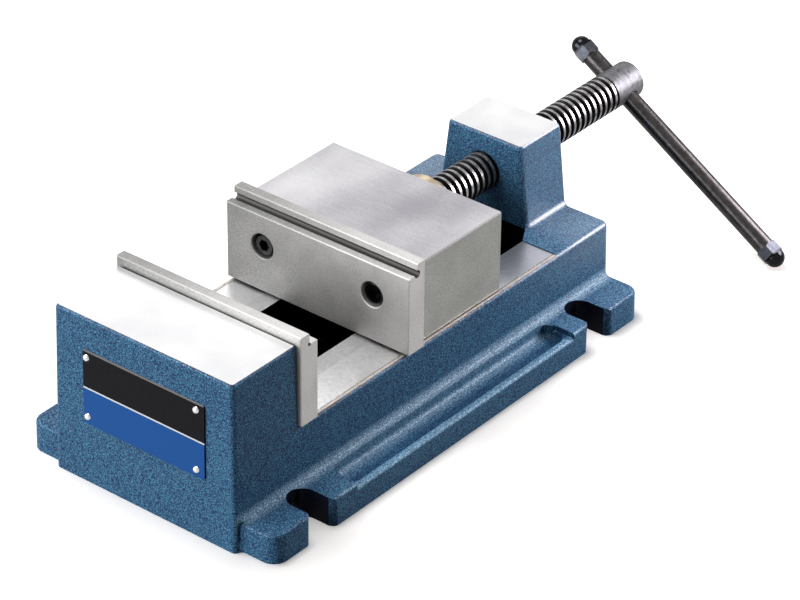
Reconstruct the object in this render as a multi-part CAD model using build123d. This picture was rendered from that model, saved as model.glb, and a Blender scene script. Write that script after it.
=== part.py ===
from build123d import *
import math
import os

# Drill press vise with jaws 102 mm wide, drawn at its real size in millimetres.
# X runs across the jaws, Y along the screw towards the handle, Z up.
# The origin is the middle of the base's underside.

# Jaws: width, heights above the slide rails, and the gap as the vise stands
jaw_width = 102.0
jaw_gap = 59.5
jaw_height = 44.1
plate_thickness = 10.8
step_width = 5.4
step_drop = 5.3
plate_chamfer = 0.4
plate_lift = 0.8
relief_radius_fixed = 0.95
relief_radius_moving = 1.75
relief_lift_share = 0.25

# Base casting: outline, draft and heights
base_length = 259.0
body_inset = 0.4
casting_draft = 1.0
rail_top = 41.2
milling_allowance = 0.4
block_below_plate = 3.9
fixed_block_depth = 41.7
top_edge_radius = 2.2
rail_edge_radius = 2.6
front_corner_radius = 2.0
rear_corner_radius = 4.0
seat_corner_radius = 1.8
rear_shoulder_length = 39.5

# Boss for the screw at the rear of the base
boss_setback = 0.7
boss_length = 29.8
boss_top_half_width = 20.6
boss_side_angle = 6.7
boss_corner_radius = 2.0
boss_fillet = 4.0
screw_height = 21.7

# Flange with four open bolt slots and a trough along each side
flange_reach = 18.5
flange_height = 14.2
flange_front_setback = 3.5
flange_rear_setback = 1.5
flange_edge_radius = 1.8
flange_corner_radius = 7.0
flange_fillet = 3.0
slot_width = 14.0
slot_from_end = 33.5
slot_inner_end = 51.5
slot_mouth_radius = 3.5
rim_width = 3.9
rim_drop = 2.4
rim_outer_radius = 1.8
rim_inner_radius = 0.9
rim_lap = 1.2
trough_depth = 5.6
trough_inset = 2.7
trough_corner_radius = 5.0
trough_floor_radius = 2.0
front_pad_length = 17.0
rear_pad_length = 12.5

# Channel between the rails, the wider pocket behind it and the hollow underside
channel_half_width = 21.2
pocket_half_width = 30.0
pocket_throat = 24.6
pocket_taper_length = 9.0
rail_depth = 14.2
hollow_half_width = 38.0
hollow_end_wall = 12.5
hollow_corner_radius = 8.0
core_corner_radius = 4.0
core_half_width = 36.0
core_length = 20.0
core_height = 55.0

# Moving jaw block with its guide tongue and keep plate
block_length = 57.5
block_inset = 3.5
block_below_moving_plate = 4.1
block_chamfer = 0.6
guide_length = 50.0
guide_clearance = 0.1
keep_thickness = 8.0
keep_inset = 0.5
keep_chamfer = 0.8
keep_screw_x = 13.0
keep_screw_spacing = 36.0

# Lead screw, 18 mm with a 4 mm pitch, and the parts that hold its nose
screw_radius = 9.0
head_length = 19.3
head_chamfer = 0.6
head_stop_gap = 2.3
cross_hole_from_end = 8.7
journal_radius = 6.0
groove_radius = 4.25
groove_width = 4.6
collar_thickness = 3.5
pad_radius = 6.2
pad_thickness = 3.0
bush_flange_radius = 14.7
bush_flange_thickness = 8.6
bush_body_radius = 11.0
bush_length = 20.0
bush_chamfer = 0.6
nose_depth = 36.0
pin_radius = 2.0
pin_length = 26.0

# Handle bar and its cap nuts
bar_radius = 4.5
bar_length = 121.6
bar_upper_reach = 19.0
bar_tilt = 31.9
stud_length = 7.6
nut_across_flats = 10.0
nut_hex_length = 6.0
nut_dome_radius = 4.75
nut_length = 11.2
nut_chamfer_angle = 30.0
nut_turn = 11.0

# Hexagon socket cap screws, washers and rivets
screw_shank_radius = 3.0
cap_head_radius = 5.0
cap_head_length = 6.0
cap_socket_across_flats = 5.0
cap_socket_depth = 3.2
cap_edge_chamfer = 0.5
jaw_screw_x = 30.6
jaw_screw_height = 23.5
jaw_screw_length = 20.0
jaw_screw_recess = 1.25
jaw_counterbore_radius = 6.1
counterbore_chamfer = 0.4
keep_screw_length = 25.0
clearance_hole_radius = 3.3
washer_radius = 6.0
washer_thickness = 1.6
nameplate_width = 67.2
nameplate_height = 35.9
nameplate_thickness = 0.8
nameplate_corner_radius = 1.0
nameplate_offset = 0.9
nameplate_middle_height = 48.2
rivet_spacing_x = 60.7
rivet_spacing_z = 29.1
rivet_offset = -0.4
rivet_head_radius = 1.65
rivet_head_height = 1.2
rivet_shank_radius = 1.2
rivet_shank_length = 6.0

# Clearances
seat_clearance = 0.05
running_clearance = 0.05
axial_clearance = 0.1
loose_clearance = 0.3
rear_stop_clearance = 1.6
pocket_clearance = 1.0
hole_overrun = 1.5

# Heights and lengthwise places that follow from the sizes above
half_jaw = jaw_width / 2
body_half_width = half_jaw - body_inset
flange_half_width = body_half_width + flange_reach + body_inset
front_end = -base_length / 2
rear_end = base_length / 2
plate_top = rail_top + jaw_height
ledge_top = plate_top - step_drop
block_top = plate_top - block_below_plate
moving_block_top = plate_top - block_below_moving_plate
screw_z = rail_top + screw_height
rail_underside = rail_top - rail_depth

seat_y = front_end + fixed_block_depth
fixed_plate_front = seat_y + plate_thickness
moving_plate_front = fixed_plate_front + jaw_gap
block_front = moving_plate_front + plate_thickness
block_rear = block_front + block_length
bush_rear = block_rear + bush_flange_thickness
shoulder_y = bush_rear + axial_clearance

boss_rear = rear_end - boss_setback
boss_front = boss_rear - boss_length
rail_rear = rear_end - rear_shoulder_length
close_travel = jaw_gap
open_travel = boss_front - rear_stop_clearance - bush_rear
head_front = boss_rear + close_travel + head_stop_gap
screw_rear = head_front + head_length
cross_hole_y = screw_rear - cross_hole_from_end

nose_y = block_rear - nose_depth + pad_thickness + loose_clearance
groove_front = nose_y + collar_thickness
groove_rear = groove_front + groove_width
pin_y = (groove_front + groove_rear) / 2
pin_x = groove_radius + pin_radius + loose_clearance

guide_middle = (block_front + block_rear) / 2
keep_top = rail_underside - guide_clearance
keep_bottom = keep_top - keep_thickness
pocket_front = guide_middle - guide_length / 2 + open_travel - pocket_clearance
slot_y = rear_end - slot_from_end
slot_x = slot_inner_end + slot_width / 2
jaw_screw_z = rail_top + jaw_screw_height
jaw_screw_head_y = jaw_screw_recess + cap_head_length


def slab(x0, x1, y0, y1, z0, z1):
    """Box between six planes."""
    return Pos((x0 + x1) / 2, (y0 + y1) / 2, (z0 + z1) / 2) * Box(x1 - x0, y1 - y0, z1 - z0)


def along_y(radius, y0, y1, x=0.0, z=screw_z):
    """Round bar or bore along Y."""
    return Pos(x, (y0 + y1) / 2, z) * Rot(90, 0, 0) * Cylinder(radius, y1 - y0)


def turned(outline, place):
    """Solid turned from an outline of (radius, length) points and laid at a place."""
    profile = Plane.XZ * make_face(Polyline(*outline, close=True))
    return place * revolve(profile, Axis.Z)


def faces_y(towards, x, y, z):
    """Frame at a point whose Z axis runs along Y, in the direction given by 1 or -1."""
    return Plane(origin=(x, y, z), x_dir=(1, 0, 0), z_dir=(0, towards, 0)).location


# Base casting

def drafted(height):
    """Body of the base up to a height, all its sides leaning in by the casting's draft."""
    return extrude(Rectangle(2 * body_half_width, base_length), amount=height, taper=casting_draft)


def cast_body():
    """Fixed jaw block at the front, low slide bed behind it."""
    bed_top = rail_top + milling_allowance
    cast_top = block_top + milling_allowance
    inside_block = seat_y - fixed_block_depth / 2
    bed = drafted(bed_top) - slab(-jaw_width, jaw_width, 2 * front_end, inside_block, 0, cast_top)
    bed = fillet([e for e in bed.edges() if upright(e) and e.center().Y > rail_rear], rear_corner_radius)
    rim = [e for e in bed.edges() if level(e, bed_top) and e.center().Y > inside_block + 1]
    bed = fillet(rim, rail_edge_radius)

    block = drafted(cast_top) - slab(-jaw_width, jaw_width, seat_y, 2 * rear_end, 0, cast_top)
    front_corners = [e for e in block.edges() if upright(e) and e.center().Y < inside_block]
    block = fillet(front_corners, front_corner_radius)
    seat_corners = [e for e in block.edges() if upright(e) and e.center().Y > inside_block]
    block = fillet(seat_corners, seat_corner_radius)
    block = fillet(block.faces().sort_by(Axis.Z)[-1].edges(), top_edge_radius)
    return bed + block


def upright(edge):
    """Whether an edge stands within a few degrees of upright."""
    return abs(edge.tangent_at(0.5).Z) > 0.9


def level(edge, z):
    """Whether an edge's middle lies at a height."""
    return abs(edge.center().Z - z) < 0.01


def boss():
    """Screw boss: a trapezium that leans in towards its top, run along Y."""
    cast_top = block_top + milling_allowance
    foot = rail_top - rear_corner_radius
    lean = math.tan(math.radians(boss_side_angle))
    foot_half_width = boss_top_half_width + (cast_top - foot) * lean
    outline = Polyline(
        (-foot_half_width, foot),
        (-boss_top_half_width, cast_top),
        (boss_top_half_width, cast_top),
        (foot_half_width, foot),
        close=True,
    )
    rear_face = Plane(origin=(0, boss_rear, 0), x_dir=(-1, 0, 0), z_dir=(0, 1, 0))
    solid = extrude(rear_face * make_face(outline), amount=-boss_length)
    solid = fillet([e for e in solid.edges() if upright(e)], boss_corner_radius)
    return fillet(solid.faces().sort_by(Axis.Z)[-1].edges(), top_edge_radius)


def flange():
    """Flange plate with drafted sides and rounded edges, before its slots are cut."""
    length = base_length - flange_front_setback - flange_rear_setback
    outline = RectangleRounded(2 * flange_half_width, length, flange_corner_radius)
    middle = Pos(0, (flange_front_setback - flange_rear_setback) / 2, 0)
    plate = extrude(middle * outline, amount=flange_height, taper=casting_draft)
    return fillet(plate.faces().sort_by(Axis.Z)[-1].edges(), flange_edge_radius)


def bolt_slot():
    """Outline of an open bolt slot with a flared mouth, from its round end towards +X."""
    half = slot_width / 2
    mouth = flange_half_width - slot_mouth_radius - slot_x
    run = mouth + slot_width
    slot = Circle(half) + Pos(run / 2, 0) * Rectangle(run, slot_width)
    flare = Pos(mouth + half, 0) * Rectangle(slot_width, slot_width + 2 * slot_mouth_radius)
    for side in (-1, 1):
        flare -= Pos(mouth, side * (half + slot_mouth_radius)) * Circle(slot_mouth_radius)
    return slot + flare


def trough():
    """Cutter for the trough on the +X side, which also lowers the rim outside it."""
    inner = body_half_width + trough_inset
    outer = flange_half_width - rim_width
    low = -slot_y + slot_width / 2 + front_pad_length
    high = slot_y - slot_width / 2 - rear_pad_length
    floor = flange_height - trough_depth
    outline = RectangleRounded(outer - inner, high - low, trough_corner_radius)
    centre = Pos((inner + outer) / 2, (low + high) / 2, floor)
    cutter = extrude(centre * outline, amount=2 * flange_height)
    cutter = fillet(cutter.faces().sort_by(Axis.Z)[0].edges(), trough_floor_radius)
    rim_top = flange_height - rim_drop
    start = low - rim_lap
    end = high + rim_lap
    return cutter + slab(outer - 2 * rim_width, 2 * jaw_width, start, end, rim_top, 2 * flange_height)


def hollow():
    """Cutter for the open underside, with the core that lightens the fixed jaw block."""
    end = rear_end - hollow_end_wall
    lower = slab(-hollow_half_width, hollow_half_width, -end, end, -rail_underside, rail_underside)
    lower = fillet(lower.edges().filter_by(Axis.Z), hollow_corner_radius)
    core = slab(-core_half_width, core_half_width, -end, -end + core_length, 0, core_height)
    return lower + fillet(core.edges().filter_by(Axis.Z), core_corner_radius)


def bed_channel():
    """Cutter for the channel between the rails and the wider pocket at its rear."""
    pocket_rear = boss_front - pocket_taper_length
    outline = Polyline(
        (-channel_half_width, seat_y),
        (-channel_half_width, pocket_front),
        (-pocket_half_width, pocket_front),
        (-pocket_half_width, pocket_rear),
        (-pocket_throat, boss_front),
        (pocket_throat, boss_front),
        (pocket_half_width, pocket_rear),
        (pocket_half_width, pocket_front),
        (channel_half_width, pocket_front),
        (channel_half_width, seat_y),
        close=True,
    )
    return extrude(Pos(0, 0, rail_underside - hole_overrun) * make_face(outline), amount=rail_top)


def jaw_screw_places(y):
    """Places of the two cap screws that hold a jaw plate, on a face across Y."""
    return [(side * jaw_screw_x, y, jaw_screw_z) for side in (-1, 1)]


def nameplate_face():
    """Plane of the drafted front face, centred on the nameplate."""
    lean = math.radians(casting_draft)
    z = nameplate_middle_height
    y = front_end + z * math.tan(lean)
    towards = (0, -math.cos(lean), math.sin(lean))
    return Plane(origin=(nameplate_offset, y, z), x_dir=(1, 0, 0), z_dir=towards)


def rivet_places():
    """Places of the four rivets, measured on the nameplate's own face."""
    shift = rivet_offset - nameplate_offset
    return [
        (shift + across * rivet_spacing_x / 2, up * rivet_spacing_z / 2)
        for up in (1, -1)
        for across in (-1, 1)
    ]


def base_casting():
    """Base: body, flange and boss cast in one, then milled, bored and drilled."""
    casting = cast_body() + flange()
    foot = [
        e for e in casting.edges()
        if level(e, flange_height) and e.length > base_length / 2 and abs(e.center().X) < body_half_width
    ]
    casting = fillet(foot, flange_fillet)
    casting += boss()
    bed_top = rail_top + milling_allowance
    boss_foot = [
        e for e in casting.edges()
        if level(e, bed_top) and abs(e.center().X) < pocket_half_width and e.center().Y > boss_front - 1
    ]
    casting = fillet(boss_foot, boss_fillet)

    for x in (-1, 1):
        for y in (-1, 1):
            slot = Pos(x * slot_x, y * slot_y, -1) * Rot(0, 0, 90 - 90 * x) * bolt_slot()
            casting -= extrude(slot, amount=rail_underside)
    casting -= trough()
    casting -= mirror(trough(), Plane.YZ)
    rim_top = flange_height - rim_drop
    outer_rims = [
        e for e in casting.edges()
        if level(e, rim_top) and e.length > base_length / 3
        and abs(e.center().X) > flange_half_width - rim_outer_radius
    ]
    casting = fillet(outer_rims, rim_outer_radius)
    trough_edge = flange_half_width - rim_width
    inner_rims = [
        e for e in casting.edges()
        if level(e, rim_top) and e.length > base_length / 3 and abs(abs(e.center().X) - trough_edge) < 0.1
    ]
    casting = fillet(inner_rims, rim_inner_radius)
    casting -= hollow()
    casting -= bed_channel()

    casting -= slab(-jaw_width, jaw_width, seat_y, rail_rear, rail_top, 2 * plate_top) - keep_boss()
    casting -= slab(-jaw_width, jaw_width, front_end, rear_end, block_top, 2 * plate_top)

    casting -= along_y(screw_radius + running_clearance, boss_front - 1, boss_rear + 1)
    thread_depth = jaw_screw_length - (plate_thickness - jaw_screw_head_y) + hole_overrun
    for x, y, z in jaw_screw_places(seat_y):
        casting -= along_y(screw_shank_radius + seat_clearance, y - thread_depth, y, x, z)
    for x, y in rivet_places():
        hole = Pos(x, y, -rivet_shank_length / 2) * Cylinder(
            rivet_shank_radius + seat_clearance, rivet_shank_length + 2 * nameplate_thickness
        )
        casting -= nameplate_face().location * hole
    return casting


def keep_boss():
    """Space above the rails that milling leaves alone, since the boss stands there."""
    return slab(-half_jaw, half_jaw, boss_front, rear_end, rail_top, 2 * plate_top)


# Jaw plates

def jaw_plate(relief_radius):
    """Stepped jaw plate with its back on Y = 0, its face towards +Y, just clear of the rails."""
    bottom = rail_top + plate_lift
    lift = relief_lift_share * relief_radius
    section = Polyline(
        (0, bottom),
        (plate_thickness, bottom),
        (plate_thickness, ledge_top),
        (plate_thickness - step_width, ledge_top),
        (plate_thickness - step_width, plate_top),
        (0, plate_top),
        close=True,
    )
    plate = extrude(Plane.YZ * make_face(section), amount=half_jaw, both=True)
    sharp = [
        e for e in plate.edges()
        if not (level(e, ledge_top) and abs(e.center().Y - (plate_thickness - step_width)) < 0.01)
    ]
    plate = chamfer([e for e in sharp if e.length > plate_thickness], plate_chamfer)
    relief = Pos(0, plate_thickness - step_width, ledge_top + lift) * Rot(0, 90, 0)
    plate -= relief * Cylinder(relief_radius, 2 * jaw_width)
    for x, y, z in jaw_screw_places(0):
        plate -= along_y(clearance_hole_radius, -1, plate_thickness + 1, x, z)
        plate -= along_y(
            jaw_counterbore_radius, plate_thickness - jaw_screw_head_y, plate_thickness + 1, x, z
        )
    mouths = [
        e for e in plate.edges().filter_by(GeomType.CIRCLE)
        if abs(e.center().Y - plate_thickness) < 0.01 and abs(e.radius - jaw_counterbore_radius) < 0.01
    ]
    return chamfer(mouths, counterbore_chamfer)


def fixed_jaw_plate():
    """Plate on the fixed block."""
    return Pos(0, seat_y, 0) * jaw_plate(relief_radius_fixed)


def moving_jaw_plate():
    """Plate on the moving block, facing the fixed one."""
    plate = mirror(jaw_plate(relief_radius_moving), Plane.XZ)
    return Pos(0, block_front, 0) * plate


# Fasteners

def cap_screw(length):
    """Hexagon socket cap screw: head seat on Z = 0, head up, shank down."""
    head = Pos(0, 0, cap_head_length / 2) * Cylinder(cap_head_radius, cap_head_length)
    head = chamfer(head.edges().sort_by(Axis.Z)[-1], cap_edge_chamfer)
    shank = Pos(0, 0, -length / 2) * Cylinder(screw_shank_radius, length)
    socket_radius = cap_socket_across_flats / 2 / math.cos(math.radians(30))
    socket = Pos(0, 0, cap_head_length - cap_socket_depth) * RegularPolygon(socket_radius, 6)
    return head + shank - extrude(socket, amount=cap_head_length)


def washer():
    """Plain washer with its lower face on Z = 0."""
    ring = Circle(washer_radius) - Circle(screw_shank_radius + loose_clearance)
    return extrude(ring, amount=washer_thickness)


def nameplate():
    """Thin plate on the drafted front face, with holes for its rivets."""
    outline = RectangleRounded(nameplate_width, nameplate_height, nameplate_corner_radius)
    for x, y in rivet_places():
        outline -= Pos(x, y) * Circle(rivet_shank_radius + seat_clearance)
    return nameplate_face().location * extrude(outline, amount=nameplate_thickness)


def rivet():
    """Drive rivet: dome on Z = 0, shank down into the casting."""
    dome_radius = (rivet_head_radius**2 + rivet_head_height**2) / (2 * rivet_head_height)
    tip = -nameplate_thickness - rivet_shank_length + hole_overrun
    rise = ThreePointArc(
        (rivet_head_radius, 0),
        (math.sqrt(dome_radius**2 - (dome_radius - rivet_head_height / 2) ** 2), rivet_head_height / 2),
        (0, rivet_head_height),
    )
    rest = Polyline(
        (0, rivet_head_height),
        (0, tip),
        (rivet_shank_radius, tip),
        (rivet_shank_radius, 0),
        (rivet_head_radius, 0),
    )
    return revolve(Plane.XZ * make_face(rise + rest), Axis.Z)


# Moving jaw

def keep_screw_places():
    """Places of the four screws that hold the keep plate to the guide tongue."""
    return [
        (x * keep_screw_x, guide_middle + y * keep_screw_spacing / 2)
        for y in (-1, 1)
        for x in (-1, 1)
    ]


def moving_jaw_block():
    """Block that slides on the rails, with its guide tongue between them."""
    half = half_jaw - block_inset
    block = slab(-half, half, block_front, block_rear, rail_top, moving_block_top)
    block = chamfer(block.edges(), block_chamfer)
    guide_half = channel_half_width - guide_clearance
    guide = slab(
        -guide_half, guide_half, guide_middle - guide_length / 2, guide_middle + guide_length / 2,
        keep_top, rail_top + 2 * block_chamfer,
    )
    block += chamfer(guide.edges().filter_by(Axis.Z), block_chamfer)

    block -= along_y(bush_body_radius + seat_clearance, block_rear - bush_length, block_rear + 1)
    block -= along_y(pad_radius + axial_clearance, block_rear - nose_depth, block_rear)
    thread_depth = jaw_screw_length - (plate_thickness - jaw_screw_head_y) + hole_overrun
    for x, y, z in jaw_screw_places(block_front):
        block -= along_y(screw_shank_radius + seat_clearance, y - 1, y + thread_depth, x, z)
    shank_depth = keep_screw_length - keep_thickness - washer_thickness + hole_overrun
    for x, y in keep_screw_places():
        hole = Cylinder(screw_shank_radius + seat_clearance, 2 * shank_depth)
        block -= Pos(x, y, keep_top) * hole
    pin_top = screw_z + pin_length / 2
    for x in (-pin_x, pin_x):
        hole = Cylinder(pin_radius + seat_clearance, pin_top - keep_top + 1)
        block -= Pos(x, pin_y, (pin_top + keep_top - 1) / 2) * hole
    return block


def keep_plate():
    """Plate under the rails that stops the moving jaw from lifting."""
    half = pocket_half_width - keep_inset
    length = guide_length / 2
    plate = slab(-half, half, guide_middle - length, guide_middle + length, keep_bottom, keep_top)
    plate = chamfer(plate.edges().filter_by(Axis.Y), keep_chamfer)
    for x, y in keep_screw_places():
        plate -= Pos(x, y, keep_bottom) * Cylinder(clearance_hole_radius, 3 * keep_thickness)
    return plate


def thrust_bush():
    """Flanged bush: its flange on the back of the block takes the screw's push."""
    inner = journal_radius + running_clearance
    outline = [
        (inner, -bush_length + 2 * seat_clearance),
        (bush_body_radius, -bush_length + 2 * seat_clearance),
        (bush_body_radius, 0),
        (bush_flange_radius, 0),
        (bush_flange_radius, bush_flange_thickness - bush_chamfer),
        (bush_flange_radius - bush_chamfer, bush_flange_thickness),
        (inner, bush_flange_thickness),
    ]
    return turned(outline, faces_y(1, 0, block_rear, screw_z))


def thrust_pad():
    """Hardened disc at the bottom of the bore, just ahead of the screw's nose."""
    start = block_rear - nose_depth
    return along_y(pad_radius, start, start + pad_thickness)


def retaining_pin(side):
    """Upright pin beside the neck of the screw."""
    return Pos(side * pin_x, pin_y, screw_z) * Cylinder(pin_radius, pin_length)


# Lead screw and handle

def lead_screw():
    """Screw with a retained nose, a long threaded length and a plain head."""
    y0 = shoulder_y
    outline = [
        (0, nose_y - y0),
        (journal_radius - bush_chamfer, nose_y - y0),
        (journal_radius, nose_y - y0 + bush_chamfer),
        (journal_radius, groove_front - y0),
        (groove_radius, groove_front - y0),
        (groove_radius, groove_rear - y0),
        (journal_radius, groove_rear - y0),
        (journal_radius, 0),
        (screw_radius - bush_chamfer, 0),
        (screw_radius, bush_chamfer),
        (screw_radius, screw_rear - y0 - head_chamfer),
        (screw_radius - head_chamfer, screw_rear - y0),
        (0, screw_rear - y0),
    ]
    screw = turned(outline, faces_y(1, 0, y0, screw_z))
    hole = Cylinder(bar_radius + loose_clearance, 4 * screw_radius)
    return screw - handle_frame() * hole


def handle_frame():
    """Place at the middle of the head's cross hole, with Z down along the bar."""
    tilt = math.radians(bar_tilt)
    along = (math.cos(tilt), 0, -math.sin(tilt))
    return Plane(origin=(0, cross_hole_y, screw_z), x_dir=(0, 1, 0), z_dir=along).location


def handle_bar():
    """Bar with a thinner threaded stud at each end."""
    upper = -bar_upper_reach
    lower = upper + bar_length
    bar = Pos(0, 0, (upper + lower) / 2) * Cylinder(bar_radius, bar_length)
    bar += Pos(0, 0, (upper + lower) / 2) * Cylinder(screw_shank_radius, bar_length + 2 * stud_length)
    return handle_frame() * bar


def cap_nut(towards, along):
    """Domed cap nut on the bar: a hexagon, then a dome pointing out."""
    corner = nut_across_flats / 2 / math.cos(math.radians(30))
    hexagon = extrude(RegularPolygon(corner, 6), amount=nut_hex_length)
    slope = math.tan(math.radians(nut_chamfer_angle))
    reach = 2 * corner
    cone = [
        (0, -1),
        (reach, -1),
        (reach, nut_hex_length - (reach - nut_across_flats / 2) * slope),
        (nut_across_flats / 2, nut_hex_length),
        (0, nut_hex_length),
    ]
    inner_cone = [
        (0, nut_hex_length + 1),
        (reach, nut_hex_length + 1),
        (reach, (reach - nut_across_flats / 2) * slope),
        (nut_across_flats / 2, 0),
        (0, 0),
    ]
    body = hexagon & turned(cone, Location()) & turned(inner_cone, Location())
    shoulder = nut_length - nut_dome_radius
    dome = Pos(0, 0, shoulder) * Sphere(nut_dome_radius)
    dome &= slab(-reach, reach, -reach, reach, shoulder, nut_length)
    neck = Pos(0, 0, shoulder / 2) * Cylinder(nut_dome_radius, shoulder)
    bore = Cylinder(screw_shank_radius + seat_clearance, 2 * (stud_length + hole_overrun))
    nut = body + neck + dome - bore
    turn = Rot(0, 0, nut_turn) * Rot(0, 0 if towards > 0 else 180, 0)
    return handle_frame() * Pos(0, 0, along) * turn * nut


# All the pieces, by name

nodes = {
    "base_casting": base_casting(),
    "fixed_jaw_plate": fixed_jaw_plate(),
    "nameplate": nameplate(),
    "moving_jaw_block": moving_jaw_block(),
    "moving_jaw_plate": moving_jaw_plate(),
    "keep_plate": keep_plate(),
    "thrust_bush": thrust_bush(),
    "thrust_pad": thrust_pad(),
    "lead_screw": lead_screw(),
    "handle_bar": handle_bar(),
    "upper_cap_nut": cap_nut(-1, -bar_upper_reach),
    "lower_cap_nut": cap_nut(1, bar_length - bar_upper_reach),
}
for name, side in (("left", -1), ("right", 1)):
    nodes[f"retaining_pin_{name}"] = retaining_pin(side)
    jaw_screw = cap_screw(jaw_screw_length)
    fixed_seat = faces_y(1, side * jaw_screw_x, fixed_plate_front - jaw_screw_head_y, jaw_screw_z)
    moving_seat = faces_y(-1, side * jaw_screw_x, moving_plate_front + jaw_screw_head_y, jaw_screw_z)
    nodes[f"fixed_jaw_screw_{name}"] = fixed_seat * jaw_screw
    nodes[f"moving_jaw_screw_{name}"] = moving_seat * jaw_screw
for number, (x, y) in enumerate(keep_screw_places(), 1):
    under = Pos(x, y, keep_bottom - washer_thickness)
    nodes[f"keep_plate_washer_{number}"] = under * washer()
    nodes[f"keep_plate_screw_{number}"] = under * Rot(180, 0, 0) * cap_screw(keep_screw_length)
for number, (x, y) in enumerate(rivet_places(), 1):
    on_plate = nameplate_face().location * Pos(x, y, nameplate_thickness)
    nodes[f"nameplate_rivet_{number}"] = on_plate * rivet()

os.makedirs("parts", exist_ok=True)
for name, solid in nodes.items():
    export_step(solid, f"parts/{name}.step")
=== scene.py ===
import math

import bmesh
import bpy
from mathutils import Matrix, Vector


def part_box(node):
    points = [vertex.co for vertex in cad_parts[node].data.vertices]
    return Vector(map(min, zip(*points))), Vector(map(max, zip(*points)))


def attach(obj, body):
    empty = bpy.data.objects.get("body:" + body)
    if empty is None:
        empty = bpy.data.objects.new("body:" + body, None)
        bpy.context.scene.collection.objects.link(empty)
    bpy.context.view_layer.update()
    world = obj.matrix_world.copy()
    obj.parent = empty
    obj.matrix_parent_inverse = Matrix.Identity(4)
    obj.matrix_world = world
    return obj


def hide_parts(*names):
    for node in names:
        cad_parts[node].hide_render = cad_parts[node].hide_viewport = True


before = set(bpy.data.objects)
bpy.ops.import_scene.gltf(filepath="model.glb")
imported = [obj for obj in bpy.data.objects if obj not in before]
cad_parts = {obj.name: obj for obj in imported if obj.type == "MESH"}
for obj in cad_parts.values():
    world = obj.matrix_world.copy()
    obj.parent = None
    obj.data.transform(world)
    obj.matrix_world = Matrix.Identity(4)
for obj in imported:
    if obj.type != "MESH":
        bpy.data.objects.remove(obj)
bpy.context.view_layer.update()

# Drill press vise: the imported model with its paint, machined and ground faces, its screw thread,
# a plain white table and soft studio light. Lengths are in metres, in the part's own frame:
# X across the jaws, Y along the screw towards the handle, Z up.

mm = 0.001

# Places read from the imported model
_, casting_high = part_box("base_casting")
fixed_low, fixed_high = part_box("fixed_jaw_plate")
moving_low, moving_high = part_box("moving_jaw_plate")
label_low, label_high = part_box("nameplate")
screw_low, screw_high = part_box("lead_screw")
_, bush_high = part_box("thrust_bush")
boss_top = casting_high.z
plate_lift = 0.8 * mm
rail_top = moving_low.z - plate_lift
seat_y = fixed_low.y
screw_radius = (screw_high.x - screw_low.x) / 2
screw_centre_z = (screw_high.z + screw_low.z) / 2

# Sizes of the casting that its paint and its bare faces follow
body_half_width = 50.6 * mm
rail_end_y = 90.0 * mm
rail_strip_x = 47.2 * mm
boss_front_y = 99.0 * mm
shoulder_z = 25.0 * mm
pocket_half_width = 30.0 * mm
hollow_half_width = 38.0 * mm
hollow_half_length = 118.0 * mm
hollow_top = 27.0 * mm
slot_x = 58.5 * mm
slot_y = 96.0 * mm
slot_radius = 7.0 * mm
flange_top = 14.2 * mm
trough_inner_x = 53.3 * mm
trough_slope_width = 6.2 * mm
trough_half_length = 84.0 * mm
trough_floor_z = 8.6 * mm
rim_inner_x = 65.6 * mm

# Where painted shade darkens the casting's rails towards the rear, where its bare edges rust and
# where its paint shines (pairs: start and end)
rail_shade_y = (10 * mm, 80 * mm)
rail_rust_depth = 0.5 * mm
top_rust_depth = 0.24 * mm
shoulder_shines_y = (92 * mm, 112 * mm)
front_dulls_y = -90 * mm
side_shines_y = (40 * mm, 125 * mm)
side_shines_z = (14 * mm, 38 * mm)

# Step of the jaw plates, and the relief groove in its corner
step_width = 5.4 * mm
step_drop = 5.3 * mm
fixed_relief_radius = 0.95 * mm
moving_relief_radius = 1.75 * mm
relief_lift_share = 0.25

# Handle bar and its cap nuts
bar_tilt = math.radians(31.9)
nut_shoulder = 0.8 * mm

# Lead screw's thread, which runs from its plain nose to its plain head
thread_pitch = 4.0 * mm
thread_depth = 2.2 * mm
crest_width = 1.35 * mm
root_width = 1.25 * mm
steps_per_turn = 56
sharp_angle = math.radians(35)
bush_gap = 0.1 * mm
head_length = 19.3 * mm
nose_y = bush_high.y + bush_gap
head_y = screw_high.y - head_length

# Plain colours that are laid over a finish
rust = (0.075, 0.035, 0.024)
scribed_line = (0.05, 0.04, 0.03)
front_top_painted_light = (0.80, 0.80, 0.805)
rail_rear_painted_shade = (0.26, 0.263, 0.295)
groove_painted_shade = (0.065, 0.063, 0.061)
edge_painted_shade = (0.035, 0.035, 0.035)
root_and_flank_dark = (0.026, 0.023, 0.024)
dome_black = (0.016, 0.016, 0.019)
label_edge = (0.13, 0.13, 0.13)
label_line = (0.42, 0.43, 0.45)
slot_painted_shade = (0.004, 0.005, 0.012)
painted_shade_black = (0.004, 0.004, 0.004)
unlit_black = (0.002, 0.002, 0.002)


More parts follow.
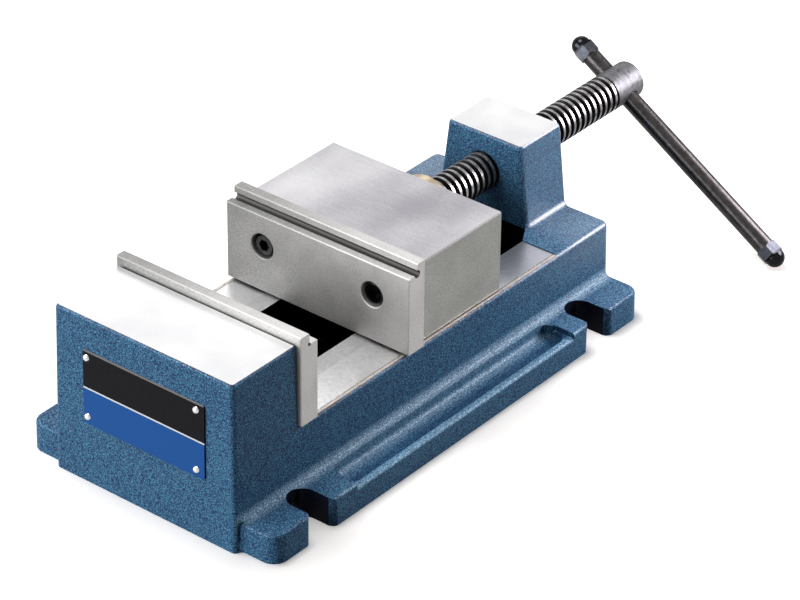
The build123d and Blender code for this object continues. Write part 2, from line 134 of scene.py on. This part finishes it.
class Value:
    """A socket of a material's node tree, with the arithmetic that masks and patterns use."""

    def __init__(self, finish, socket):
        self.finish = finish
        self.socket = socket

    def math(self, operation, *others):
        inputs = dict(enumerate((self, *others)))
        return self.finish.node("ShaderNodeMath", {"operation": operation}, inputs)

    def __add__(self, other):
        return self.math("ADD", other)

    def __sub__(self, other):
        return self.math("SUBTRACT", other)

    def __mul__(self, other):
        return self.math("MULTIPLY", other)

    def __rsub__(self, other):
        return self.finish.node("ShaderNodeMath", {"operation": "SUBTRACT"}, {0: other, 1: self})

    __radd__ = __add__
    __rmul__ = __mul__

    def above(self, limit, blur=0.02 * mm):
        """1 where the value is over a limit, 0 where it is under, with a narrow blend between."""
        return self.span(limit - blur, limit + blur)

    def below(self, limit, blur=0.02 * mm):
        """1 where the value is under a limit, 0 where it is over."""
        return self.span(limit + blur, limit - blur)

    def within(self, low, high, blur=0.02 * mm):
        """1 between two limits, 0 outside them."""
        return self.above(low, blur) * self.below(high, blur)

    def span(self, start, end):
        """0 at the start, 1 at the end and beyond, with a smooth rise between them."""
        inputs = {"Value": self, "From Min": start, "From Max": end}
        return self.finish.node("ShaderNodeMapRange", {"interpolation_type": "SMOOTHSTEP"}, inputs)

    def size(self):
        """The value without its sign."""
        return self.math("ABSOLUTE")

    def hypotenuse(self, other):
        """Distance from a line, with the two distances across it."""
        return (self * self + other * other).math("SQRT")

    def either(self, other):
        """The larger of two masks."""
        return self.math("MAXIMUM", other)


class Finish:
    """A material with one Principled shader, built node by node."""

    def __init__(self, name, **constants):
        self.material = bpy.data.materials.new(name)
        self.material.use_nodes = True
        self.tree = self.material.node_tree
        self.shader = self.tree.nodes["Principled BSDF"]
        self.place = self.tree.nodes.new("ShaderNodeTexCoord")
        self.shade(**constants)

    def put(self, node, socket, value):
        """Sets or links one input of a node."""
        if isinstance(value, Value):
            self.tree.links.new(value.socket, node.inputs[socket])
        elif isinstance(value, tuple) and len(value) == 3 and node.inputs[socket].type == "RGBA":
            node.inputs[socket].default_value = (*value, 1.0)
        else:
            node.inputs[socket].default_value = value

    def node(self, kind, settings=None, inputs=None, output=0, stops=None):
        """Any other node: its settings and ramp stops first, then its sockets' values or links."""
        made = self.tree.nodes.new(kind)
        for key, value in (settings or {}).items():
            setattr(made, key, value)
        if stops:
            while len(made.color_ramp.elements) < len(stops):
                made.color_ramp.elements.new(1.0)
            for element, (position, colour) in zip(made.color_ramp.elements, stops):
                element.position = position
                element.color = (*colour, 1.0)
        for socket, value in (inputs or {}).items():
            self.put(made, socket, value)
        return Value(self, made.outputs[output])

    def shade(self, **inputs):
        """Sets or links the shader's own sockets."""
        for socket, value in inputs.items():
            self.put(self.shader, socket.replace("_", " "), value)

    def object_place(self):
        return Value(self, self.place.outputs["Object"])

    def facing(self):
        """The surface's direction in the piece's own frame."""
        return Value(self, self.place.outputs["Normal"])

    def axes(self, vector):
        made = self.tree.nodes.new("ShaderNodeSeparateXYZ")
        self.put(made, "Vector", vector)
        return [Value(self, made.outputs[i]) for i in range(3)]

    def stretched(self, x=1.0, y=1.0, z=1.0, turn=(0.0, 0.0, 0.0)):
        """Object coordinates scaled along each axis, for grain that runs one way."""
        inputs = {"Vector": self.object_place(), "Scale": (x, y, z), "Rotation": turn}
        return self.node("ShaderNodeMapping", None, inputs)

    def noise(self, size, detail=2.0, roughness=0.5, place=None, output=0):
        """Noise whose blotches are about as wide as a size in metres."""
        inputs = {
            "Vector": place or self.object_place(), "Scale": 1.0 / size,
            "Detail": detail, "Roughness": roughness,
        }
        return self.node("ShaderNodeTexNoise", None, inputs, output)

    def ramp(self, value, *stops):
        return self.node("ShaderNodeValToRGB", None, {"Fac": value}, stops=stops)

    def mix(self, share, a, b):
        """Colour a where the share is 0 and b where it is 1."""
        inputs = {"Factor": share, 6: a, 7: b}
        return self.node("ShaderNodeMix", {"data_type": "RGBA"}, inputs, output=2)

    def blend(self, share, a, b):
        """Number a where the share is 0 and b where it is 1."""
        return self.node("ShaderNodeMix", {"data_type": "FLOAT"}, {"Factor": share, 2: a, 3: b})

    def bump(self, height, depth, strength=1.0, under=None):
        inputs = {"Height": height, "Distance": depth, "Strength": strength}
        if under:
            inputs["Normal"] = under
        return self.node("ShaderNodeBump", None, inputs)


# Finishes

def hammered(finish):
    """Hammered paint, as cells about a millimetre wide that dark veins part.

    Gives the height for the bump, the colour, a pale colour for painted highlights, and the cells.
    """
    cell_size = 1.12 * mm
    wander_size = 1.1 * mm
    wander_reach = (1.3 * mm,) * 3
    wander = finish.noise(wander_size, output=1)
    shifted = finish.node(
        "ShaderNodeVectorMath", {"operation": "MULTIPLY_ADD"},
        {0: wander, 1: wander_reach, 2: finish.object_place()},
    )
    edges = finish.node(
        "ShaderNodeTexVoronoi", {"feature": "DISTANCE_TO_EDGE"},
        {"Vector": shifted, "Scale": 1.0 / cell_size},
    )
    fine = finish.noise(0.6 * mm, roughness=0.6)
    drift = finish.noise(25 * mm, detail=1.0)
    tone = edges + (fine - 0.5) * 0.55 + (drift - 0.5) * 0.06
    colour = finish.ramp(
        tone,
        (0.0, (0.012, 0.022, 0.062)),
        (0.09, (0.020, 0.052, 0.108)),
        (0.2, (0.040, 0.122, 0.198)),
        (0.5, (0.062, 0.170, 0.262)),
    )
    vein_tone, cell_tone = 0.02, 0.3
    # Paler blue, used for painted highlights
    pale = finish.ramp(
        tone, (vein_tone, (0.035, 0.095, 0.160)), (cell_tone, (0.165, 0.300, 0.410))
    )
    highest = 0.2
    return edges.math("MINIMUM", highest), colour, pale, tone.span(vein_tone, cell_tone)


def base_paint():
    """The base casting: paint all over, with the milled and bored faces left bare."""
    finish = Finish(
        "hammered_blue_paint", Specular_IOR_Level=0.05, Coat_Roughness=0.42, Coat_IOR=1.5
    )
    height, paint, pale, cell = hammered(finish)
    x, y, z = finish.axes(finish.object_place())
    aside = x.size()
    along = y.size()
    east, north, up = finish.axes(finish.facing())
    fine = finish.noise(0.5 * mm, detail=3.0, roughness=0.65)
    blots = finish.noise(2.4 * mm, detail=3.0, roughness=0.65)
    cloudy = finish.noise(26 * mm)

    # Flange: painted highlights as pale soft corners at the body's foot and in the trough and as a
    # pale rim, and painted shade on the trough floor
    corner_reach = 5.2 * mm
    corner_swell = 2.2
    flank = 1 - north.size().above(0.5, 0.2)
    from_foot = (aside - body_half_width).hypotenuse(z - flange_top)
    from_corner = (aside - trough_inner_x).hypotenuse(z - trough_floor_z)
    foot = from_foot.span(corner_reach, 1.0 * mm) * flank
    slope = from_corner.span(corner_reach, 0.3 * mm) * flank
    under_top = z.below(flange_top - 0.3 * mm, 0.2 * mm)
    in_trough = along.below(trough_half_length, 1.5 * mm) * under_top
    on_rim = aside.above(rim_inner_x + 0.3 * mm, 0.8 * mm) * up.above(0.3, 0.2) * 0.8
    painted_highlight = (foot * 0.7).either(in_trough * on_rim.either(slope * 0.7))
    on_floor = aside.within(trough_inner_x + trough_slope_width, rim_inner_x, 1.4 * mm)
    painted_deep_shade = in_trough * on_floor * 0.7
    shaded = finish.mix(cell, (0.005, 0.018, 0.055), (0.018, 0.064, 0.130))
    paint = finish.mix(painted_deep_shade, finish.mix(painted_highlight, paint, pale), shaded)
    swell = finish.bump(foot * corner_swell + slope * corner_swell, 1.0 * mm)

    # Milled tops and rails
    flat = up.above(0.995, 0.002)
    tops = z.above(boss_top - 0.05 * mm) * flat
    rails = z.within(rail_top - 0.1 * mm, rail_top + 0.1 * mm) * flat
    steel = finish.ramp(
        fine * 0.4 + cloudy * 0.6, (0.38, (0.445, 0.445, 0.455)), (0.62, (0.56, 0.56, 0.565))
    )
    # Painted light: the fixed block's top, in front, is made a little lighter than the boss top
    steel = finish.mix(y.below(0.0, 10 * mm) * 0.16, steel, front_top_painted_light)
    slide = finish.ramp(
        fine * 0.45 + blots * 0.3 + cloudy * 0.25,
        (0.34, (0.46, 0.46, 0.475)), (0.6, (0.72, 0.715, 0.725)),
    )
    # Painted shade: the rails are made darker towards the rear
    slide = finish.mix(y.span(*rail_shade_y) * 0.38, slide, rail_rear_painted_shade)

    # Rough strip along each rail's outer edge, a scribed line inside it, rust spots under the edges
    strip = rails * aside.above(rail_strip_x, 0.15 * mm)
    strip_colour = finish.ramp(blots, (0.38, (0.26, 0.22, 0.185)), (0.55, (0.42, 0.385, 0.34)))
    line = aside.within(rail_strip_x - 0.25 * mm, rail_strip_x + 0.15 * mm, 0.1 * mm)
    scribed = rails * line * blots.above(0.44, 0.05)
    slide = finish.mix(strip * 0.8, slide, strip_colour)
    slide = finish.mix(scribed, slide, scribed_line)
    rail_lip = z.within(rail_top - rail_rust_depth, rail_top - 0.03 * mm)
    rail_lip = rail_lip * y.within(seat_y, rail_end_y + 0.3 * mm)
    top_lip = z.within(boss_top - top_rust_depth, boss_top - 0.02 * mm)
    spots = rail_lip.either(top_lip) * blots.above(0.51, 0.05)
    paint = finish.mix(spots, paint, rust)

    # Painted shade, near black: the channel, the hollow underside, the plate's seat, the screw's
    # bore, the slots
    channel = aside.below(pocket_half_width + 0.2 * mm)
    channel = channel * y.within(seat_y, boss_front_y + 0.1 * mm)
    channel = channel * z.below(rail_top - 0.05 * mm, 0.1 * mm)
    hollow = aside.below(hollow_half_width + 0.6 * mm) * z.below(hollow_top + 0.4 * mm)
    hollow = hollow * along.below(hollow_half_length)
    seat_depth = 1.2 * mm
    seat = y.within(seat_y - seat_depth, seat_y + 0.2 * mm) * z.above(rail_top - 0.02 * mm)
    from_axis = x.hypotenuse(z - screw_centre_z)
    bore = from_axis.below(screw_radius + 0.35 * mm) * y.above(boss_front_y - 2 * mm)
    dark = channel.either(hollow).either(seat).either(bore)
    slots = aside.above(slot_x - slot_radius - 0.15 * mm)
    slots = slots * (along - slot_y).size().below(slot_radius + 0.06 * mm)
    slots = slots * z.below(flange_top - 0.05 * mm)
    colour = finish.mix(rails, finish.mix(tops, paint, steel), slide)
    colour = finish.mix(slots, colour, slot_painted_shade)
    bare = tops.either(rails * (1 - strip * 0.6))
    plain = (1 - dark) * (1 - slots)

    # Gloss of the paint: most on what faces up at the rear shoulder, some on the rear's right side
    shoulder = y.span(*shoulder_shines_y) * z.above(shoulder_z, 1 * mm)
    front = y.below(front_dulls_y, 20 * mm)
    level = cell * 0.5 + 0.22 + (shoulder - front * 0.2)
    facing_up = up.span(0.2, 0.7) * (1 - up.within(0.3, 0.95, 0.1) * 0.4)
    from_above = facing_up.either(foot * 0.35).either(slope * 0.35) * level * (1 - painted_deep_shade)
    from_behind = east.above(0.6, 0.2) * y.span(*side_shines_y) * z.span(*side_shines_z)
    gloss = from_above + from_behind * 0.75

    relief = height * (1 - bare) + fine * bare * 0.04
    finish.shade(
        Base_Color=finish.mix(dark, colour, unlit_black),
        Metallic=bare * plain,
        Roughness=finish.blend(bare, 0.34, 0.31),
        Coat_Weight=(1 - bare) * plain * gloss,
        Normal=finish.bump(relief, 0.22 * mm, strength=0.9, under=swell),
    )
    return finish.material


def ground_steel(name, plate_low, plate_high, towards, radius):
    """A jaw plate: ground all over, with a fine speckle, painted shade in the relief groove at its
    step, painted light that lightens it towards +X, and painted shade on its faces that look
    towards +X.
    """
    finish = Finish(name, Metallic=1.0)
    x, y, z = finish.axes(finish.object_place())
    east, _, _ = finish.axes(finish.facing())
    fine = finish.noise(0.6 * mm, detail=3.0, roughness=0.7)
    cloudy = finish.noise(14 * mm)
    face_y = plate_high.y if towards > 0 else plate_low.y
    groove_y = face_y - towards * step_width
    groove_z = plate_high.z - step_drop + relief_lift_share * radius
    groove = (y - groove_y).hypotenuse(z - groove_z).below(radius + 0.06 * mm)
    painted_deep_shade = groove * z.above(groove_z + 0.1 * radius, 0.2 * mm)
    fade_x = 52 * mm
    # Painted light: lighter towards +X; painted shade: darker where it faces +X
    painted_light_rightward = x.span(-fade_x, fade_x)
    tone = fine * 0.75 + cloudy * 0.25 + painted_light_rightward * 0.38 - 0.18 - east.above(0.6, 0.2) * 0.05
    steel = finish.ramp(tone, (0.22, (0.165, 0.165, 0.162)), (0.78, (0.46, 0.455, 0.445)))
    groove_colour = finish.mix(painted_deep_shade, groove_painted_shade, painted_shade_black)
    finish.shade(
        Base_Color=finish.mix(groove, steel, groove_colour),
        Roughness=finish.blend(cloudy, 0.58, 0.66),
        Normal=finish.bump(fine, 0.012 * mm),
    )
    return finish.material


def milled_iron():
    """Moving jaw block: ground flat, a little duller than the plates, with painted shade on its
    rounded edges and a painted shadow along its foot.
    """
    finish = Finish("milled_iron", Metallic=1.0)
    _, _, z = finish.axes(finish.object_place())
    _, _, up = finish.axes(finish.facing())
    fine = finish.noise(0.6 * mm, detail=3.0, roughness=0.7)
    cloudy = finish.noise(18 * mm)
    drift = finish.noise(48 * mm, place=finish.stretched(y=0.6, turn=(0.0, 0.0, 0.5)))
    brushed = finish.noise(0.5 * mm, place=finish.stretched(x=0.06))
    top = finish.ramp(
        fine * 0.22 + brushed * 0.1 + drift * 0.68,
        (0.38, (0.27, 0.262, 0.285)), (0.62, (0.56, 0.55, 0.565)),
    )
    side = finish.ramp(
        fine * 0.75 + cloudy * 0.25, (0.33, (0.185, 0.190, 0.176)), (0.67, (0.375, 0.380, 0.360))
    )
    # Painted shade darkens the rounded edges; a painted shadow makes the foot near black
    edge = up.within(0.35, 0.95, 0.1)
    foot = z.below(rail_top + 0.6 * mm, 0.1 * mm)
    colour = finish.mix(up.above(0.5, 0.2), side, top)
    colour = finish.mix(edge, colour, edge_painted_shade)
    finish.shade(
        Base_Color=finish.mix(foot, colour, painted_shade_black),
        Roughness=finish.blend(cloudy, 0.30, 0.38),
        Normal=finish.bump(fine, 0.014 * mm),
    )
    return finish.material


def turned_steel():
    """Lead screw: bright crests, near-black roots and flanks, and a bright head."""
    finish = Finish("turned_steel", Metallic=1.0)
    x, y, z = finish.axes(finish.object_place())
    threaded = y.below(head_y + 0.05 * mm)
    bright_depth = 0.14 * mm
    from_axis = x.hypotenuse(z - screw_centre_z)
    crest = from_axis.above(screw_radius - bright_depth, 0.08 * mm)
    dark = threaded * (1 - crest)
    marks = finish.noise(1.8 * mm, detail=4.0, roughness=0.7)
    rings = finish.noise(0.5 * mm, place=finish.stretched(0.08, 1.0, 0.08))
    steel = finish.ramp(
        rings * 0.4 + marks * 0.6,
        (0.36, (0.03, 0.032, 0.04)), (0.46, (0.105, 0.107, 0.115)), (0.7, (0.165, 0.166, 0.172)),
    )
    crests = finish.ramp(marks, (0.35, (0.13, 0.13, 0.135)), (0.6, (0.32, 0.32, 0.325)))
    colour = finish.mix(threaded, steel, crests)
    finish.shade(
        Base_Color=finish.mix(dark, colour, root_and_flank_dark),
        Roughness=finish.blend(dark, finish.blend(threaded, 0.54, 0.36), 0.42),
        Normal=finish.bump(rings, 0.01 * mm),
    )
    return finish.material


def brass():
    """Thrust bush: turned brass with fine rings."""
    finish = Finish("brass", Metallic=1.0)
    rings = finish.noise(0.5 * mm, place=finish.stretched(0.1, 1.0, 0.1))
    finish.shade(
        Base_Color=finish.ramp(rings, (0.3, (0.42, 0.33, 0.22)), (0.7, (0.54, 0.46, 0.35))),
        Roughness=finish.blend(rings, 0.26, 0.36),
        Normal=finish.bump(rings, 0.008 * mm),
    )
    return finish.material


def blackened(name, dark, pale, smooth, rough):
    """Blackened steel for the bar and the cap screws."""
    finish = Finish(name, Metallic=1.0)
    wear = finish.noise(3 * mm, detail=4.0, roughness=0.6)
    fine = finish.noise(0.4 * mm)
    finish.shade(
        Base_Color=finish.ramp(wear * 0.7 + fine * 0.3, (0.35, dark), (0.65, pale)),
        Roughness=finish.blend(wear, smooth, rough),
        Normal=finish.bump(fine, 0.006 * mm),
    )
    return finish.material


def cap_nut(name, low, high, outward):
    """Blackened cap nut: a glossy black dome on the hexagon's outer end."""
    finish = Finish(name, Metallic=1.0)
    x, _, z = finish.axes(finish.object_place())
    middle = (low + high) / 2
    along_bar = (x - middle.x) * math.cos(bar_tilt) - (z - middle.z) * math.sin(bar_tilt)
    dome = (along_bar * outward).above(nut_shoulder, 0.1 * mm)
    wear = finish.noise(2 * mm, detail=3.0)
    hexagon = finish.ramp(wear, (0.3, (0.033, 0.036, 0.044)), (0.7, (0.060, 0.064, 0.076)))
    finish.shade(
        Base_Color=finish.mix(dome, hexagon, dome_black),
        Roughness=finish.blend(dome, finish.blend(wear, 0.30, 0.36), 0.13),
    )
    return finish.material


def bright(name, tone, smooth, rough):
    """Plain bright metal for washers, pins and rivets."""
    finish = Finish(name, Metallic=1.0)
    fine = finish.noise(0.8 * mm)
    finish.shade(
        Base_Color=finish.ramp(fine, (0.3, (tone * 0.9,) * 3), (0.7, (tone,) * 3)),
        Roughness=finish.blend(fine, smooth, rough),
    )
    return finish.material


def printed_plate():
    """Blank nameplate: a black field over a blue one, parted by a white line, bare at its top."""
    finish = Finish("printed_plate", Specular_IOR_Level=0.05)
    _, _, z = finish.axes(finish.object_place())
    east, _, _ = finish.axes(finish.facing())
    blue_share = 0.492
    line_half_width = 0.36 * mm
    bare_width = 0.4 * mm
    part_line = label_low.z + blue_share * (label_high.z - label_low.z)
    upper = z.above(part_line, 0.1 * mm)
    line = (z - part_line).size().below(line_half_width, 0.08 * mm)
    border = z.above(label_high.z - bare_width, 0.08 * mm)
    sides = east.size().above(0.5, 0.1)
    fine = finish.noise(0.6 * mm)
    black = finish.ramp(fine, (0.3, (0.003, 0.003, 0.004)), (0.7, (0.006, 0.006, 0.008)))
    blue = finish.ramp(fine, (0.3, (0.008, 0.047, 0.165)), (0.7, (0.010, 0.055, 0.190)))
    field = finish.mix(border, finish.mix(upper, blue, black), label_edge)
    marked = finish.mix(line, field, label_line)
    finish.shade(
        Base_Color=finish.mix(sides, marked, unlit_black),
        Roughness=finish.blend(fine, 0.34, 0.42),
    )
    return finish.material


def paint_nodes(names, material):
    """Gives CAD nodes a material in place of their own."""
    for name in names:
        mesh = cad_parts[name].data
        mesh.materials.clear()
        mesh.materials.append(material)


def nodes_with(*words):
    """Names of the CAD nodes that hold one of some words."""
    return [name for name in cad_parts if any(word in name for word in words)]


def mesh_of(name, bm):
    """The mesh of a bmesh that is finished with."""
    mesh = bpy.data.meshes.new(name)
    bm.to_mesh(mesh)
    bm.free()
    return mesh


def placed(name, data):
    """A new object in the scene, at the origin."""
    made = bpy.data.objects.new(name, data)
    bpy.context.scene.collection.objects.link(made)
    return made


# Lead screw with its thread

def thread_ridge(bm):
    """One pitch of the trapezoid profile, spun along the screw as a helix."""
    flank_width = (thread_pitch - crest_width - root_width) / 2
    root_start = crest_width + flank_width
    root_radius = screw_radius - thread_depth
    start = nose_y - thread_pitch
    stations = [
        (0.0, screw_radius), (crest_width, screw_radius), (root_start, root_radius),
        (root_start + root_width, root_radius), (thread_pitch, screw_radius),
    ]
    profile = [bm.verts.new((radius, start + along, 0.0)) for along, radius in stations]
    edges = [bm.edges.new(pair) for pair in zip(profile, profile[1:])]
    turns = math.ceil((head_y - start) / thread_pitch) + 1
    bmesh.ops.spin(
        bm, geom=profile + edges, cent=(0, 0, 0), axis=(0, 1, 0),
        dvec=(0, thread_pitch / steps_per_turn, 0), angle=-2 * math.pi * turns,
        steps=steps_per_turn * turns, use_merge=False,
    )
    bmesh.ops.remove_doubles(bm, verts=bm.verts, dist=0.004 * mm)


def cut_at(bm, y, keep_above):
    """Cuts an open tube square at a height along Y and closes the cut."""
    cut = bmesh.ops.bisect_plane(
        bm, geom=bm.verts[:] + bm.edges[:] + bm.faces[:], dist=1e-7,
        plane_co=(0, y, 0), plane_no=(0, 1, 0),
        clear_inner=keep_above, clear_outer=not keep_above,
    )
    rim = [edge for edge in cut["geom_cut"] if isinstance(edge, bmesh.types.BMEdge)]
    bmesh.ops.edgeloop_fill(bm, edges=rim)


def screw_end(y, keep_above):
    """The plain head or nose of the CAD screw, cut off square."""
    bm = bmesh.new()
    bm.from_mesh(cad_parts["lead_screw"].data)
    bmesh.ops.remove_doubles(bm, verts=bm.verts, dist=0.002 * mm)
    cut_at(bm, y, keep_above)
    return mesh_of("screw_end", bm)


def lead_screw_piece():
    """The threaded length between the CAD screw's own nose and head, in one piece."""
    bm = bmesh.new()
    thread_ridge(bm)
    cut_at(bm, nose_y, True)
    cut_at(bm, head_y, False)
    bmesh.ops.translate(bm, verts=bm.verts, vec=(0, 0, screw_centre_z))
    bmesh.ops.recalc_face_normals(bm, faces=bm.faces)
    bm.from_mesh(screw_end(head_y, True))
    bm.from_mesh(screw_end(nose_y, False))
    mesh = mesh_of("threaded_screw", bm)
    piece = placed("threaded_screw", mesh)
    mesh.shade_smooth()
    mesh.set_sharp_from_angle(angle=sharp_angle)
    mesh.materials.append(turned_steel())
    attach(piece, "lead_screw")
    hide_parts("lead_screw")


# Table, light and camera

# Light of the room, and the table's own glow: all over it, and what is added behind the vise
room_light = 0.11
floor_lift = 0.30
floor_lift_behind = 0.5
glow_tint = (1.0, 0.955, 0.935)

# The table, with painted shade on the part of it under the vise's hollow underside
table_half_size = 4.0
well_half_width = 40.0 * mm
behind_vise_y = 138 * mm
glow_starts_at = 0.2
glow_full_at = 0.5

# The table's colour as the camera sees it, as metal mirrors it and as soft light leaves it
white_table_colour = (1.0, 0.985, 0.97)
mirrored_table_colour = (0.70, 0.70, 0.695)
dim_table_colour = (0.24, 0.24, 0.24)
under_vise_painted_shade = (0.01, 0.01, 0.01)


def ray_kind(finish, kind):
    """1 for rays of one kind, such as Is Camera Ray."""
    return finish.node("ShaderNodeLightPath", None, None, kind)


def table():
    """White table, lighter for the camera than for the light that it throws on the vise.

    Away from the vise it glows more for the camera alone, so that it stays white there.
    """
    bm = bmesh.new()
    bmesh.ops.create_grid(bm, x_segments=1, y_segments=1, size=table_half_size)
    mesh = mesh_of("table", bm)
    floor = placed("table", mesh)
    finish = Finish("white_table")
    x, y, _ = finish.axes(finish.object_place())
    direct = ray_kind(finish, "Is Camera Ray")
    mirrored = ray_kind(finish, "Is Glossy Ray").either(ray_kind(finish, "Is Transmission Ray"))
    # Painted shade: under the vise's hollow the table is near black and has no glow
    well = x.size().below(well_half_width) * y.size().below(hollow_half_length)
    reflected = finish.mix(mirrored, dim_table_colour, mirrored_table_colour)
    colour = finish.mix(well, finish.mix(direct, reflected, white_table_colour), under_vise_painted_shade)
    behind = y.above(behind_vise_y, 14 * mm) * floor_lift_behind
    around = x.hypotenuse(y).span(glow_starts_at, glow_full_at) * (1 - floor_lift)
    strength = direct.either(mirrored) * (1 - well) * floor_lift + direct * behind.either(around)
    diffuse = finish.node("ShaderNodeBsdfDiffuse", None, {"Color": colour})
    glow = finish.node("ShaderNodeEmission", None, {"Color": glow_tint, "Strength": strength})
    both = finish.node("ShaderNodeAddShader", None, {0: diffuse, 1: glow})
    finish.tree.nodes.remove(finish.shader)
    finish.put(finish.tree.nodes["Material Output"], "Surface", both)
    mesh.materials.append(finish.material)


def studio_world():
    """White for the camera and for mirrored and transmitted rays, dim for the rest."""
    world = bpy.data.worlds.new("studio")
    bpy.context.scene.world = world
    world.use_nodes = True
    tree = world.node_tree
    tree.nodes.clear()
    output = tree.nodes.new("ShaderNodeOutputWorld")
    room = tree.nodes.new("ShaderNodeBackground")
    room.inputs["Color"].default_value = (1.0, 1.0, 1.0, 1.0)
    room.inputs["Strength"].default_value = room_light
    white = tree.nodes.new("ShaderNodeBackground")
    white.inputs["Strength"].default_value = 1.0
    rays = tree.nodes.new("ShaderNodeLightPath")
    seen = rays.outputs["Is Camera Ray"]
    for kind in ("Is Glossy Ray", "Is Transmission Ray"):
        either = tree.nodes.new("ShaderNodeMath")
        either.operation = "MAXIMUM"
        tree.links.new(seen, either.inputs[0])
        tree.links.new(rays.outputs[kind], either.inputs[1])
        seen = either.outputs[0]
    mix = tree.nodes.new("ShaderNodeMixShader")
    tree.links.new(seen, mix.inputs[0])
    tree.links.new(room.outputs[0], mix.inputs[1])
    tree.links.new(white.outputs[0], mix.inputs[2])
    tree.links.new(mix.outputs[0], output.inputs["Surface"])


# Camera, fitted to the vise's edges in the photograph
aim_point = Vector((0.0, -4.2 * mm, 20.4 * mm))
azimuth = math.radians(39.747)
elevation = math.radians(32.729)
roll = math.radians(0.092)
camera_distance = 1645.6 * mm
sensor_width = 36.0
focal_pixels = 3760.8
picture_width = 800
picture_height = 600
centre_x = 336.0
centre_y = 344.5

# Lamps: direction from the vise, distance, width and height in metres, watts, tint, and whether
# the lamp is kept off the table
untinted = (1.0, 1.0, 1.0)
lamps = {
    "overhead": ((-0.26, -0.06, 1.0), 1.5, 0.8, 0.8, 22.5, untinted, False),
    "front": ((-0.42, -0.88, 0.34), 1.7, 1.8, 1.0, 57.0, untinted, True),
    "back_left": ((-0.57, 0.62, 0.54), 1.5, 0.75, 0.5, 1.6, untinted, False),
    "back_right": ((0.541, 0.647, 0.538), 0.9, 0.45, 0.3, 1.8, untinted, True),
    "rear_side": ((0.50, 0.80, 0.42), 0.5, 0.25, 0.2, 3.4, (1.0, 0.93, 0.97), True),
}


def softbox(name, towards, distance, width, height, power, tint, off_table):
    """Rectangular lamp that looks at the vise from a direction."""
    lamp = bpy.data.lights.new(name, "AREA")
    lamp.shape = "RECTANGLE"
    lamp.size = width
    lamp.size_y = height
    lamp.energy = power
    lamp.color = tint
    holder = placed(name, lamp)
    direction = Vector(towards).normalized()
    holder.location = aim_point + direction * distance
    holder.rotation_euler = direction.to_track_quat("Z", "Y").to_euler()
    holder.visible_camera = False
    if off_table:
        kept_off = bpy.data.collections.new(name + "_kept_off")
        kept_off.objects.link(bpy.data.objects["table"])
        kept_off.collection_objects[0].light_linking.link_state = "EXCLUDE"
        holder.light_linking.receiver_collection = kept_off


def photo_camera():
    camera = bpy.data.cameras.new("photo_camera")
    camera.sensor_width = sensor_width
    camera.lens = focal_pixels / picture_width * sensor_width
    camera.shift_x = (picture_width / 2 - centre_x) / picture_width
    camera.shift_y = (centre_y - picture_height / 2) / picture_width
    camera.clip_end = 20.0
    level = Vector((math.sin(azimuth), -math.cos(azimuth), 0.0))
    back = level * math.cos(elevation) + Vector((0.0, 0.0, math.sin(elevation)))
    right = Vector((math.cos(azimuth), math.sin(azimuth), 0.0))
    up = back.cross(right)
    turned_right = right * math.cos(roll) + up * math.sin(roll)
    turned_up = back.cross(turned_right)
    axes = Matrix((turned_right, turned_up, back)).transposed().to_4x4()
    holder = placed("photo_camera", camera)
    holder.matrix_world = Matrix.Translation(aim_point + back * camera_distance) @ axes
    bpy.context.scene.camera = holder


paint_nodes(["base_casting"], base_paint())
for name, low, high, towards, radius in (
    ("fixed", fixed_low, fixed_high, 1, fixed_relief_radius),
    ("moving", moving_low, moving_high, -1, moving_relief_radius),
):
    plate_steel = ground_steel("ground_steel_" + name, low, high, towards, radius)
    paint_nodes([name + "_jaw_plate"], plate_steel)
paint_nodes(["moving_jaw_block", "keep_plate"], milled_iron())
paint_nodes(["thrust_bush"], brass())
paint_nodes(["nameplate"], printed_plate())
black_bar = blackened("black_bar", (0.028, 0.025, 0.026), (0.062, 0.058, 0.058), 0.26, 0.34)
paint_nodes(["handle_bar"], black_bar)
for name, outward in (("upper_cap_nut", -1), ("lower_cap_nut", 1)):
    paint_nodes([name], cap_nut(name + "_finish", *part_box(name), outward))
black_screws = blackened("black_screws", (0.03, 0.03, 0.032), (0.06, 0.06, 0.062), 0.2, 0.3)
paint_nodes(nodes_with("_screw_"), black_screws)
paint_nodes(nodes_with("rivet"), bright("rivet_metal", 0.8, 0.16, 0.24))
paint_nodes(nodes_with("washer", "pin_", "thrust_pad"), bright("small_steel", 0.45, 0.28, 0.4))
lead_screw_piece()

table()
studio_world()
for name, settings in lamps.items():
    softbox(name, *settings)
photo_camera()
bpy.context.scene.view_settings.view_transform = "Standard"
